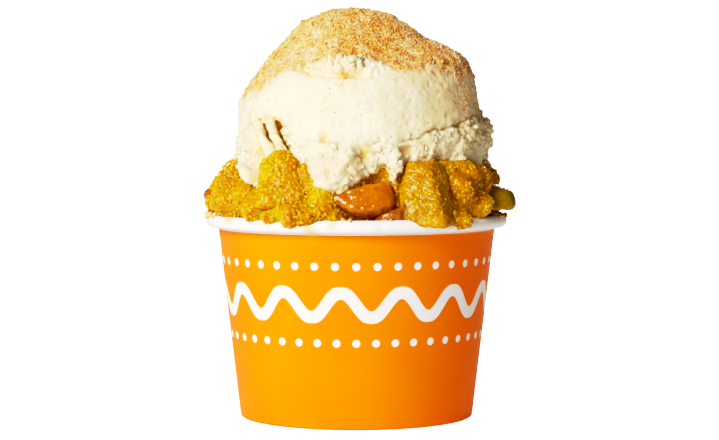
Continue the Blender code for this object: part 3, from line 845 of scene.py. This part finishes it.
# Crumbs of baked crust: dry, matt and porous, from pale gold to brown
def crumbMaterial():
    material, add = newMaterial("bakedCrumb", Roughness=0.85, Specular_IOR_Level=0.2)
    shade = add("Attribute", output="Fac", attribute_name="shade")
    place = add("TexCoord", output="Object")
    tones = ((0.0, "#F4D49A"), (0.5, "#EAB266"), (0.9, "#D6923E"), (1.0, "#A4713E"))
    bake = add("ValToRGB", {"Fac": shade}, stops=tones)
    pores = add("TexNoise", {"Vector": place, "Scale": 2600.0, "Detail": 2.0})
    toned = add("ValToRGB", {"Fac": pores}, stops=((0.35, "#D8D0C4"), (0.6, "#FFFFFF")))
    mottled = add("Mix", {0: 1.0, 6: bake, 7: toned}, 2, data_type="RGBA", blend_type="MULTIPLY")
    relief = add("Bump", {"Height": pores, "Strength": 0.5, "Distance": 0.3 * mm})
    feedShader(material, Base_Color=mottled, Normal=relief)
    return material


bakedCrumb = crumbMaterial()


# Draws places on a surface, likelier where the weight is high, and gives them with their normals
def pickSpots(draw, points, normals, weight, count):
    chosen = draw.choice(len(weight), count, replace=False, p=weight / weight.sum())
    return points.reshape(-1, 3)[chosen], normals.reshape(-1, 3)[chosen]


# Many small uneven balls as one mesh: each is stretched, turned, and sunk a little where it lies
def scatter(name, material, places, normals, sizes, slot, seed, sink, splits=0, rough=0.25):
    draw = np.random.default_rng(seed)
    count = len(places)
    ball, triangles = ballShape(splits, count)
    stretch = draw.uniform(0.65, 1.25, (count, 1, 3))
    knobs = draw.uniform(1 - rough, 1 + rough, (count, len(ball), 1))
    shapes = ball[None] * knobs * stretch * sizes[:, None, None]
    shapes = np.einsum("nij,nkj->nki", randomTurns(draw, count), shapes)
    points = shapes + (places + normals * (sizes * (1 - 2 * sink))[:, None])[:, None, :]
    piece = makePiece(name, points.reshape(-1, 3), [], triangles, material, slot=slot)
    markPoints(piece, "shade", np.repeat(draw.uniform(0, 1, count) ** 1.7, len(ball)))


# Grains lie where the dust does, in drifts, and more thinly on the flange to the right
def makeTopping():
    draw = np.random.default_rng(3)
    spots = scoopPoints.reshape(-1, 3)
    level = np.hypot(spots[:, 0], spots[:, 1])
    drifts = 0.12 + smoothStep(-0.3, 0.45, waves(spots / 5.5, 71))
    flange = bump(scoopAzimuth.ravel(), -18, 20) * smoothStep(88, 92, spots[:, 2]) * 0.08
    weight = (scoopDust.ravel() ** 1.5 * drifts + flange) * level
    places, normals = pickSpots(draw, spots, scoopNormals, weight, scoop["grainCount"])
    sizes = np.clip(draw.lognormal(-1.5, 0.36, len(places)), 0.12, 0.8)
    large = scoop["largeGrains"]
    sizes[:large] = draw.uniform(0.6, 1.0, large)
    scatter("crumbTopping", bakedCrumb, places, normals, sizes, "vanilla_ice_cream", 4, sink=0.5)


# Small clods of cream that stand up where the scoop is torn, fewer of them at the right
def makeClods():
    draw = np.random.default_rng(5)
    spots = scoopPoints.reshape(-1, 3)
    level = np.hypot(spots[:, 0], spots[:, 1])
    weight = scoopCrests.ravel() ** 2 * level * smoothStep(78, 82, spots[:, 2])
    weight = weight * (1 - 0.7 * bump(scoopAzimuth.ravel(), -25, 28))
    places, normals = pickSpots(draw, spots, scoopNormals, weight, scoop["clodCount"])
    sizes = np.clip(draw.lognormal(-0.45, 0.35, len(places)), 0.3, 1.3)
    shape = {"seed": 6, "sink": 0.75, "splits": 1, "rough": 0.45}
    scatter("creamClods", vanilla, places, normals, sizes, "vanilla_ice_cream", **shape)


# Crumbs on the rim, most of them at the left and right ends: azimuth, spread, count
rimCrumbs = ((-168, 9, 46), (-14, 7, 40), (-97, 60, 14), (90, 70, 22))


def makeRimCrumbs():
    draw = np.random.default_rng(8)
    azimuth = np.concatenate([draw.normal(at, spread * 0.5, count) for at, spread, count in rimCrumbs])
    normals = direction(azimuth, draw.uniform(35, 125, len(azimuth)))
    across, up = rollCentre
    places = direction(azimuth, 0) * across + np.array([0, 0, up]) + normals * tub["rollRadius"]
    sizes = np.clip(draw.lognormal(-0.75, 0.4, len(azimuth)), 0.25, 0.95)
    scatter("rimCrumbs", bakedCrumb, places, normals, sizes, "wet_crumble", 9, sink=0.2, splits=1)


makeTopping()
makeClods()
makeRimCrumbs()
print("crumbs are made")


# Heap of wet crumble, as reach from a point a little above the rim
heap = {
    "centre": np.array([0, 0, 70.0]),
    "top": 85.0,
    "floor": 7.7,
    "radius": 44.6,
    # between its side and its top: shares of level and of up in the slope, and how far out that lies
    "slope": (0.78, 0.62, 44.0),
    "wallGap": 0.5,
    "columns": 840,
    "rows": 104,
    "overRim": -8.6,
    # lumps of the front: azimuth, distance from the axis, height, radius
    "lumps": (
        (-154, 43.2, 78.0, 5.4), (-164, 44.6, 75.0, 5.0), (-170, 45.4, 70.0, 4.6), (-153, 45.2, 70.4, 5.6),
        (-140, 43.4, 72.4, 5.6), (-132, 45.6, 69.6, 6.2), (-115, 46.8, 67.4, 5.6), (-103, 44.4, 68.8, 5.2),
        (-108, 46.4, 66.6, 4.8), (-98, 46.0, 66.2, 4.0), (-124, 47.0, 66.6, 4.6), (-121, 44.4, 71.2, 5.4),
        (-52, 47.2, 67.2, 5.8), (-45, 44.6, 74.4, 6.4), (-47, 48.2, 65.8, 4.4), (-37, 43.2, 78.8, 5.8),
        (-34, 46.0, 70.4, 5.8), (-27, 43.8, 76.6, 5.8), (-19, 46.2, 70.2, 5.2), (-78, 39.4, 74.6, 5.0),
    ),
    # rings of further lumps round the sides and the back: distance from the axis, height, step in degrees
    "restRows": ((44.6, 69.6, 15), (42.8, 75.6, 17), (40.2, 80.4, 19)),
    "restSpan": 193,
    # hollows under the skirt and behind its leg: azimuth, distance from the axis, height, radius, depth
    "dips": ((-77, 41.0, 79.5, 7.5, 5.0), (-137, 44.0, 81.0, 6.5, 3.6)),
    # hollow round each piece of peach: half width, depth
    "peachHollow": (9.0, 3.5),
    "nubCount": 34,
    # loose crumbs of about a millimetre, on the heap and on each grainy piece of peach
    "crumbCounts": {"heap": 3400, "peach_chunk_left": 420, "peach_chunk_right": 120, "peach_chunk_back": 120},
}


# The lumps of the dictionary, and the rings of others drawn round the rest of the heap
def heapLumps():
    draw = random.Random(21)
    rest = []
    for row, (radius, height, step) in enumerate(heap["restRows"]):
        for i in range(int(heap["restSpan"] / step)):
            place = -8 + row * 5 + i * step + draw.uniform(-3, 3)
            out = radius + draw.uniform(-1.6, 0.0)
            rest.append((place, out, height + draw.uniform(-1.2, 1.2), draw.uniform(4.4, 6.4)))
    return list(heap["lumps"]) + rest


# Syrup-soaked crumble: wet translucent grains, so it glows gold where thin and glints all over.
# The grainy flesh of the pale peach is the same, a little greener. The glow is how far light goes in.
# Its creases are darkened with painted shade.
def crumbleMaterial(name, tones, pale, dark, glow=7.0):
    material, add = newMaterial(
        name, Roughness=0.32, Subsurface_Weight=0.85, Subsurface_Radius=(0.9, 0.52, 0.07),
        Subsurface_Scale=glow * mm, Specular_IOR_Level=0.08, Coat_Weight=0.3, Coat_Roughness=0.05, IOR=1.4
    )
    place = add("TexCoord", output="Object")
    deep = add("Attribute", output="Fac", attribute_name="deep")
    patch = add("TexNoise", {"Vector": place, "Scale": 85.0, "Detail": 3.0})
    base = add("ValToRGB", {"Fac": patch}, stops=tuple(zip((0.32, 0.5, 0.68), tones)))

    # Crumbs of 1.1 mm, each domed, and about one in three of them pale
    beads = add("TexVoronoi", {"Vector": place, "Scale": 900.0})
    fall = {"From Min": 0.1, "From Max": 0.65, "To Min": 1.0, "To Max": 0.0}
    dome = add("MapRange", {"Value": beads, **fall}, interpolation_type="SMOOTHSTEP")
    lot = beads.node.outputs["Color"]
    drawn = add("MapRange", {"Value": lot, "From Min": 0.52, "From Max": 0.7, "To Max": 0.8})
    fleck = add("Math", {0: drawn, 1: dome}, operation="MULTIPLY")
    flecked = add("Mix", {0: fleck, 6: base, 7: colour(pale)}, 2, data_type="RGBA")
    # Painted shade: where the relief sinks into creases, the colour is mixed towards the dark tone
    shaded = add("Mix", {0: deep, 6: flecked, 7: colour(dark)}, 2, data_type="RGBA")
    grit = add("TexNoise", {"Vector": place, "Scale": 1900.0, "Detail": 2.0})
    height = add("Math", {0: grit, 1: 0.45, 2: dome}, operation="MULTIPLY_ADD")
    relief = add("Bump", {"Height": height, "Strength": 0.42, "Distance": 0.5 * mm})

    # The syrup on it lies smoother than the crumbs
    film = add("Bump", {"Height": dome, "Strength": 0.2, "Distance": 0.5 * mm})
    feedShader(material, Base_Color=shaded, Normal=relief, Coat_Normal=film)
    return material


soakedCrumble = crumbleMaterial("soakedCrumble", ("#B87604", "#C68805", "#D49C07"), "#F0C23A", "#BE7804")
looseCrumble = crumbleMaterial("looseCrumble", ("#D08E0A", "#DA9A12", "#E4AA20"), "#F0C450", "#BE7C04", 0.8)
grainyPeach = crumbleMaterial("grainyPeach", ("#AA7405", "#B68407", "#C49409"), "#E6B834", "#A46C06")


# Cooked peach in syrup: smooth wet flesh with faint fibres, deeper in colour where it is thick
def peachMaterial(name, light, dark, fibre, gloss, threadLength):
    material, add = newMaterial(
        name, Roughness=0.5 - 0.4 * gloss, Subsurface_Weight=0.6, Subsurface_Radius=(1.0, 0.45, 0.05),
        Subsurface_Scale=5 * mm, Specular_IOR_Level=0.1, Coat_Weight=gloss,
        Coat_Roughness=0.14 - 0.12 * gloss, IOR=1.4
    )
    place = add("TexCoord", output="Object")
    patch = add("TexNoise", {"Vector": place, "Scale": 120.0, "Detail": 4.0})
    base = add("ValToRGB", {"Fac": patch}, stops=((0.34, dark), (0.66, light)))
    drawn = add("Mapping", {"Vector": place, "Scale": (1.0, 1.0, 1 / threadLength)})
    threads = add("TexNoise", {"Vector": drawn, "Scale": 900.0, "Detail": 3.0})
    relief = add("Bump", {"Height": threads, "Strength": fibre, "Distance": 0.3 * mm})
    feedShader(material, Base_Color=base, Normal=relief, Coat_Normal=relief)
    return material


cookedPeach = peachMaterial("cookedPeach", "#C27A06", "#9C5A05", 0.12, 0.65, 3.0)
underripePeach = peachMaterial("underripePeach", "#A88A1E", "#8A6C10", 0.3, 0.4, 2.0)

# Peach pieces: material, centre, softness of the edges, cut faces as (direction, distance)
peaches = {
    "peach_slice_front": (
        cookedPeach, (1.0, -39.5, 70.5), 7,
        (
            ((1, 0.1, 0.05), 10.8), ((-1, 0.2, 0.1), 11.5), ((-0.26, 0.2, 1), 5.2),
            ((0.1, -1, 0.75), 5.8), ((0.28, -0.6, -1), 5.6), ((0, 1, 0), 8.0), ((-0.5, -0.3, -0.86), 4.6),
            ((-0.2, -0.95, 0.22), 6.5),
        ),
    ),
    "peach_chunk_right": (
        grainyPeach, (22.0, -36.0, 73.0), 9,
        (
            ((-0.9, -0.25, 0.15), 8.7), ((0.85, -0.45, 0.34), 6.6), ((-0.15, -1, 0.28), 7.6),
            ((0, 0, 1), 10.6), ((0.1, 1, 0), 9.0), ((0, 0, -1), 9.0),
        ),
    ),
    "peach_piece_rim": (
        underripePeach, (45.6, -14.5, 71.6), 5,
        (
            ((1, -0.2, 0.2), 4.6), ((-1, 0.2, 0), 6.0), ((0.2, -1, 0.3), 4.6),
            ((0, 1, 0.2), 5.4), ((0.3, 0, 1), 3.9), ((0, 0, -1), 3.6),
        ),
    ),
    "peach_chunk_left": (
        soakedCrumble, (-22.6, -33.0, 77.0), 4,
        (
            ((-0.85, -0.2, 0.42), 7.6), ((0.85, -0.2, 0.42), 7.6), ((0, -1, 0.35), 8.2),
            ((0, 1, 0), 7.0), ((0, 0, -1), 8.0), ((0.1, 0, 1), 11.2),
        ),
    ),
    "peach_slice_left": (
        cookedPeach, (-41.5, 8.0, 73.4), 5,
        (
            ((-1, 0, 0.7), 6.4), ((-0.3, 0, -1), 5.6), ((-0.2, 0.1, 1), 6.4),
            ((0, 1, 0.1), 11.5), ((-0.1, -1, 0.1), 10.5), ((1, 0, 0.3), 7.0),
        ),
    ),
    "peach_chunk_back": (
        grainyPeach, (10.0, 40.0, 73.0), 8,
        (
            ((-1, 0.2, 0.2), 9.0), ((1, 0.3, 0.3), 8.0), ((0, 1, 0.6), 6.6),
            ((0, 0, 1), 8.2), ((0, -1, 0), 9.0), ((0, 0, -1), 8.0),
        ),
    ),
    "peach_slice_back": (
        cookedPeach, (-19.0, 37.5, 72.0), 5,
        (
            ((-1, 0.3, 0.1), 12.0), ((1, 0.6, 0.1), 10.0), ((-0.3, 1, 0.5), 6.6),
            ((0, 0.2, 1), 6.4), ((0, 0.3, -1), 6.0), ((0, -1, 0), 7.0),
        ),
    ),
}


# Soaked crumbs: soft swells under domes of three sizes, whose creases are filled with syrup; where this
# relief sinks, the pieces paint it darker as shade
def crumbRelief(points):
    warped = points + 0.9 * wander(points / 3.0, 81)
    loose = smoothStep(-0.5, 0.5, waves(points / 7.0, 84))
    nubs = np.maximum(grains(warped / 4.0, 85, 0.85), 0.3)
    beads = np.maximum(grains(warped / 2.1, 86, 0.8), 0.35)
    small = np.maximum(grains(points / 1.15, 87), 0.35)
    return (
        0.5 * (nubs - 0.6) + (0.3 + 0.35 * loose) * (beads - 0.6) + (0.34 + 0.2 * loose) * (small - 0.6)
        + 0.8 * waves(points / 8.0, 88)
    )


# Reach of the heap: a power mean of its side, its slope and its top, with a swelling for each lump and
# a hollow for each piece of peach, and below the rim the inside of the tub
def makeHeap():
    middle, floor = heap["centre"], heap["floor"]
    floorDrop = middle[2] - floor
    inner = tub["board"] + heap["wallGap"]
    corner = -math.degrees(math.atan2(floorDrop, wallRadius(floor) - inner))
    tilts = np.concatenate([[corner, -30, -9.4], np.linspace(-8.5, 22, heap["rows"]), [30, 50]])
    azimuth, tilt = ringGrid(tilts, heap["columns"])
    way = direction(azimuth, tilt)
    level, up = np.hypot(way[..., 0], way[..., 1]), np.maximum(way[..., 2], 0)
    wall = (wallRadius(middle[2]) - inner) / np.maximum(level - wallSlope * way[..., 2], 0.001)
    plug = np.minimum(wall, floorDrop / np.maximum(-way[..., 2], 0.001))
    outward, upward, slopeReach = heap["slope"]
    slope = (level * outward + up * upward) / slopeReach
    near = (level / heap["radius"]) ** 12 + slope**12 + (up / (heap["top"] - middle[2])) ** 12
    smooth = near ** (-1 / 12)

    # How far a place is from the middle, and how far each direction passes it by at that reach
    def passing(place):
        centre = np.array(place) - middle
        span = np.linalg.norm(centre)
        return span, np.linalg.norm(way * span - centre, axis=-1)

    swell = np.zeros_like(smooth)
    for at, out, high, radius in heapLumps():
        span, aside = passing(direction(at, 0) * out + np.array([0, 0, high]))
        fade = np.exp(-((aside / (0.85 * radius)) ** 2))
        swell = swell + np.maximum(0, (span + radius - smooth) * fade) ** 3
    swell = swell ** (1 / 3)
    for at, out, high, radius, depth in heap["dips"]:
        aside = passing(direction(at, 0) * out + np.array([0, 0, high]))[1]
        swell = swell - depth * np.exp(-((aside / radius) ** 2))
    halfWidth, depth = heap["peachHollow"]
    for look, place, _, _ in peaches.values():
        if look is not soakedCrumble:
            swell = swell - depth * np.exp(-((passing(place)[1] / halfWidth) ** 4))
    reach = np.where(tilt < heap["overRim"], plug, smooth + swell)
    points = middle + way * reach[..., None]
    shift = crumbRelief(points) - 0.3
    points = raised(points, shift * smoothStep(-9.2, -7.6, tilt))
    ends = ((0, 0, floor), (0, 0, heap["top"]))
    piece = makeShell("crumbleHeap", points, *ends, soakedCrumble, node="cobbler_filling", slot="wet_crumble")
    # Painted shade: the deeper the relief sinks, the darker the crumble's colour is made
    markPoints(piece, "deep", np.clip(-0.15 - 0.4 * shift, 0, 0.5), (0, 0))
    return points, ringNormals(points)


heapPoints, heapNormals = makeHeap()
print("heap is made")


# Nubs of crumble that lie loose on the heap: flattened balls pushed in and out by grains
def makeNubs():
    draw = np.random.default_rng(15)
    count = heap["nubCount"]
    ball, triangles = ballShape(3, count)
    shown = slice(6, 3 + int(heap["rows"] * 0.62))
    spots = heapPoints[shown].reshape(-1, 3)
    out = heapNormals[shown].reshape(-1, 3)
    clear = np.min([np.linalg.norm(spots - np.array(row[1]), axis=-1) for row in peaches.values()], axis=0)
    chosen = draw.choice(np.flatnonzero(clear > 11.0), count, replace=False)
    sizes = draw.uniform(1.1, 2.3, count)
    stretch = draw.uniform(0.7, 1.25, (count, 1, 3))
    shapes = np.einsum("nij,nkj->nki", randomTurns(draw, count), ball[None] * stretch)
    places = spots[chosen] - out[chosen] * (sizes * 0.7)[:, None]
    points = places[:, None] + shapes * sizes[:, None, None]
    push = 0.3 * crumbRelief(points) + 0.4 * waves(points / 2.6, 92)
    push = np.maximum(push, -0.3 * sizes[:, None])
    points = points + shapes * push[..., None]
    piece = makePiece("crumbleNubs", points.reshape(-1, 3), [], triangles, soakedCrumble, slot="wet_crumble")
    # Painted shade: the deeper a nub is pushed in, the darker its colour is made
    markPoints(piece, "deep", np.clip(-0.1 - 0.4 * push, 0, 0.5))


makeNubs()
print("nubs are made")


# Soft-edged block: a power mean of its cut faces, seen from its centre, and a little uneven
def blockRings(place, softness, faces, columns, seed):
    way = direction(*ringGrid(np.linspace(-90, 90, columns // 2 + 2)[1:-1], columns, 0))
    total = 0
    for facing, distance in faces:
        facing = np.array(facing, float) / np.linalg.norm(facing)
        total = total + (np.maximum(way @ facing, 0) / distance) ** softness
    reach = total ** (-1 / softness) * (1 + 0.05 * waves(way * 1.6, seed))
    return np.array(place) + way * reach[..., None]


# The blocks with soft dents, and where they are grainy with crumbs; gives the grainy ones
def makePeaches():
    grainy = {}
    for seed, (name, (look, *block)) in enumerate(peaches.items()):
        points = blockRings(*block, 180, 100 + seed)
        shift = 0.35 * fractal(points / 4.5, 3, 110 + seed) + 0.08 * waves(points / 0.8, 120)
        if look is cookedPeach:
            shift = shift + 0.22 * waves(points / 2.4, 121)
        if look is grainyPeach:
            shift = shift + 0.35 * crumbRelief(points)
        if look is soakedCrumble:
            shift = crumbRelief(points)
        points = raised(points, shift)
        ends = [points[0].mean(axis=0), points[-1].mean(axis=0)]
        first, *others = name.split("_")
        title = first + "".join(word.capitalize() for word in others)
        piece = makeShell(title, points, *ends, look, node=name, slot="peach_flesh")
        if look in (soakedCrumble, grainyPeach):
            # Painted shade: the deeper the relief sinks, the darker the piece's colour is made
            markPoints(piece, "deep", np.clip(-0.15 - 0.4 * shift, 0, 0.5), (0, 0))
            grainy[name] = (points, ringNormals(points))
    return grainy


grainyPieces = makePeaches()


# Single crumbs half sunk in the heap and in the grainy pieces, in drifts
def makeLooseCrumbs():
    draw = np.random.default_rng(17)
    shown = slice(4, 3 + int(heap["rows"] * 0.8))
    surfaces = {"heap": (heapPoints[shown], heapNormals[shown]), **grainyPieces}
    places, normals = [], []
    for name, (points, outward) in surfaces.items():
        size = np.linalg.norm(np.gradient(points, axis=1), axis=-1)
        weight = (size * (0.2 + smoothStep(-0.4, 0.4, waves(points / 5.0, 95)))).ravel()
        spots, ways = pickSpots(draw, points, outward, weight, heap["crumbCounts"][name])
        places.append(spots)
        normals.append(ways)
    places, normals = np.concatenate(places), np.concatenate(normals)
    sizes = np.clip(draw.lognormal(-0.66, 0.34, len(places)), 0.28, 1.0)
    scatter("looseCrumbs", looseCrumble, places, normals, sizes, "wet_crumble", 18, sink=0.68)


makeLooseCrumbs()


# Syrup: sugar and peach juice boiled down to a clear amber
def syrupMaterial():
    material, add = newMaterial(
        "amberSyrup", Base_Color=colour("#B8740C"), Roughness=0.04, IOR=1.44, Transmission_Weight=0.35,
        Coat_Weight=0.8, Coat_Roughness=0.02
    )
    place = add("TexCoord", output="Object")
    ripple = add("TexNoise", {"Vector": place, "Scale": 380.0, "Detail": 2.0})
    relief = add("Bump", {"Height": ripple, "Strength": 0.9, "Distance": 1.4 * mm})
    feedShader(material, Normal=relief)
    return material


# The pool of syrup: centre, softness of the edges, cut faces
syrupPool = (
    (11.2, -41.6, 67.0), 6,
    (
        ((1, 0.25, 0), 4.8), ((-1, 0.25, 0), 5.6), ((-0.28, -0.93, 0.25), 3.2), ((0.4, -1, 0), 3.4),
        ((0, 1, 0), 5.0), ((-0.45, 0, 1), 2.0), ((0, 0, -1), 2.4),
    ),
)


# The pool is a block too, with a rippled face
def makeSyrup():
    points = blockRings(*syrupPool, 144, 140)
    points = raised(points, 0.5 * waves(points / 3.0, 141))
    ends = [points[0].mean(axis=0), points[-1].mean(axis=0)]
    makeShell("syrupPool", points, *ends, syrupMaterial(), node="syrup_pool", slot="syrup")


makeSyrup()
print("fruit and syrup are made")
